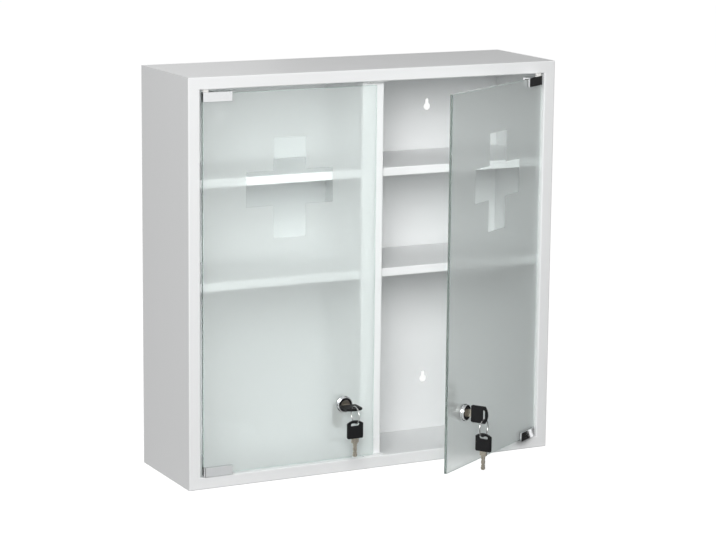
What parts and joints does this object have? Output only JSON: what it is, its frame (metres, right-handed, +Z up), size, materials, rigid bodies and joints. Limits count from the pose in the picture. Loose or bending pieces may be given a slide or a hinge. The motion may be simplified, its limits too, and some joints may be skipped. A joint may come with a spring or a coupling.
{
  "type": "lockable medicine cabinet",
  "caption": "Wall cabinet of folded white sheet steel with two hinged glass doors, cam locks, keys and fixed shelves; one door stands open.",
  "frame": {"origin": "centre of the underside face, halfway between the front face and the wall face", "axes": "+X to the right seen from the front, +Y from the doors towards the wall, +Z up"},
  "size_m": [0.53, 0.2932, 0.53],
  "materials": {
    "white_powder_coat": "satin white powder coat on folded sheet steel",
    "door_glass": "tempered float glass, frosted round a clear plain cross, with polished greenish edges",
    "chrome_plating": "bright chrome plating on die-cast zinc",
    "zinc_steel": "zinc-plated steel",
    "ring_steel": "nickel-plated spring steel",
    "nickel_silver": "nickel-plated brass, slightly yellow",
    "black_plastic": "fine-grained black moulded plastic",
    "black_gloss_plastic": "glossy black plastic",
    "black_rubber": "soft black rubber",
    "white_nylon": "natural white nylon"
  },
  "bodies": {
    "root": {"left_side_panel": "white_powder_coat", "right_side_panel": "white_powder_coat", "top_panel": "white_powder_coat", "bottom_panel": "white_powder_coat", "back_panel": "white_powder_coat", "partition_panel": "white_powder_coat", "centre_post": "white_powder_coat", "top_post_bracket": "white_powder_coat", "bottom_post_bracket": "white_powder_coat", "post_bracket_screws": "zinc_steel", "left_lower_shelf": "white_powder_coat", "left_upper_shelf": "white_powder_coat", "right_lower_shelf": "white_powder_coat", "right_upper_shelf": "white_powder_coat", "top_pivot_washers": "white_nylon", "bottom_pivot_washers": "white_nylon"},
    "left_door": {"left_door_glass": "door_glass", "left_top_hinge_clip": "chrome_plating", "left_bottom_hinge_clip": "chrome_plating", "left_clip_liners": "black_rubber", "left_clip_screws": "zinc_steel", "left_pivot_pins": "zinc_steel", "left_lock_barrel": "chrome_plating", "left_lock_rosette": "chrome_plating", "left_lock_gaskets": "black_rubber", "left_lock_face_ring": "black_gloss_plastic", "left_lock_nut": "zinc_steel"},
    "right_door": {"right_door_glass": "door_glass", "right_top_hinge_clip": "chrome_plating", "right_bottom_hinge_clip": "chrome_plating", "right_clip_liners": "black_rubber", "right_clip_screws": "zinc_steel", "right_pivot_pins": "zinc_steel", "right_lock_barrel": "chrome_plating", "right_lock_rosette": "chrome_plating", "right_lock_gaskets": "black_rubber", "right_lock_face_ring": "black_gloss_plastic", "right_lock_nut": "zinc_steel"},
    "left_plug": {"left_lock_plug": "chrome_plating", "left_lock_cam": "zinc_steel", "left_lock_cam_screw": "zinc_steel"},
    "right_plug": {"right_lock_plug": "chrome_plating", "right_lock_cam": "zinc_steel", "right_lock_cam_screw": "zinc_steel"},
    "left_key": {"left_key_blade": "nickel_silver", "left_key_head": "black_plastic"},
    "left_ring": {"left_key_ring": "ring_steel"},
    "left_spare_key": {"left_spare_key_blade": "nickel_silver", "left_spare_key_head": "black_plastic"},
    "right_key": {"right_key_blade": "nickel_silver", "right_key_head": "black_plastic"},
    "right_ring": {"right_key_ring": "ring_steel"},
    "right_spare_key": {"right_spare_key_blade": "nickel_silver", "right_spare_key_head": "black_plastic"}
  },
  "joints": [
    {"name": "left_door_hinge", "type": "hinge", "parent": "root", "child": "left_door", "pos_m": [-0.2406, -0.0745, 0.265], "axis": [0, 0, -1], "range_deg": [0, 105]},
    {"name": "right_door_hinge", "type": "hinge", "parent": "root", "child": "right_door", "pos_m": [0.2406, -0.0745, 0.265], "axis": [0, 0, 1], "range_deg": [-32, 73]},
    {"name": "left_lock_turn", "type": "hinge", "parent": "left_door", "child": "left_plug", "pos_m": [-0.0455, -0.0775, 0.092], "axis": [0, -1, 0], "range_deg": [0, 90]},
    {"name": "right_lock_turn", "type": "hinge", "parent": "right_door", "child": "right_plug", "pos_m": [0.07674, -0.18043, 0.092], "axis": [0.5299, -0.848, 0], "range_deg": [0, 90]},
    {"name": "left_key_slide", "type": "slide", "parent": "left_plug", "child": "left_key", "axis": [0, -1, 0], "range_m": [0, 0.024]},
    {"name": "right_key_slide", "type": "slide", "parent": "right_plug", "child": "right_key", "axis": [0.5299, -0.848, 0], "range_m": [0, 0.024]},
    {"name": "left_ring_swing", "type": "hinge", "parent": "left_key", "child": "left_ring", "pos_m": [-0.0487, -0.11658, 0.092], "axis": [0, -1, 0], "range_deg": [-20, 20]},
    {"name": "left_spare_key_swing", "type": "hinge", "parent": "left_ring", "child": "left_spare_key", "pos_m": [-0.0487, -0.11658, 0.0752], "axis": [0, -1, 0], "range_deg": [-20, 20]},
    {"name": "right_ring_swing", "type": "hinge", "parent": "right_key", "child": "right_ring", "pos_m": [0.09237, -0.20545, 0.08614], "axis": [-0.848, -0.5299, 0], "range_deg": [-10, 45]},
    {"name": "right_spare_key_swing", "type": "hinge", "parent": "right_ring", "child": "right_spare_key", "pos_m": [0.09237, -0.20545, 0.06354], "axis": [-0.848, -0.5299, 0], "range_deg": [-10, 45]}
  ]
}
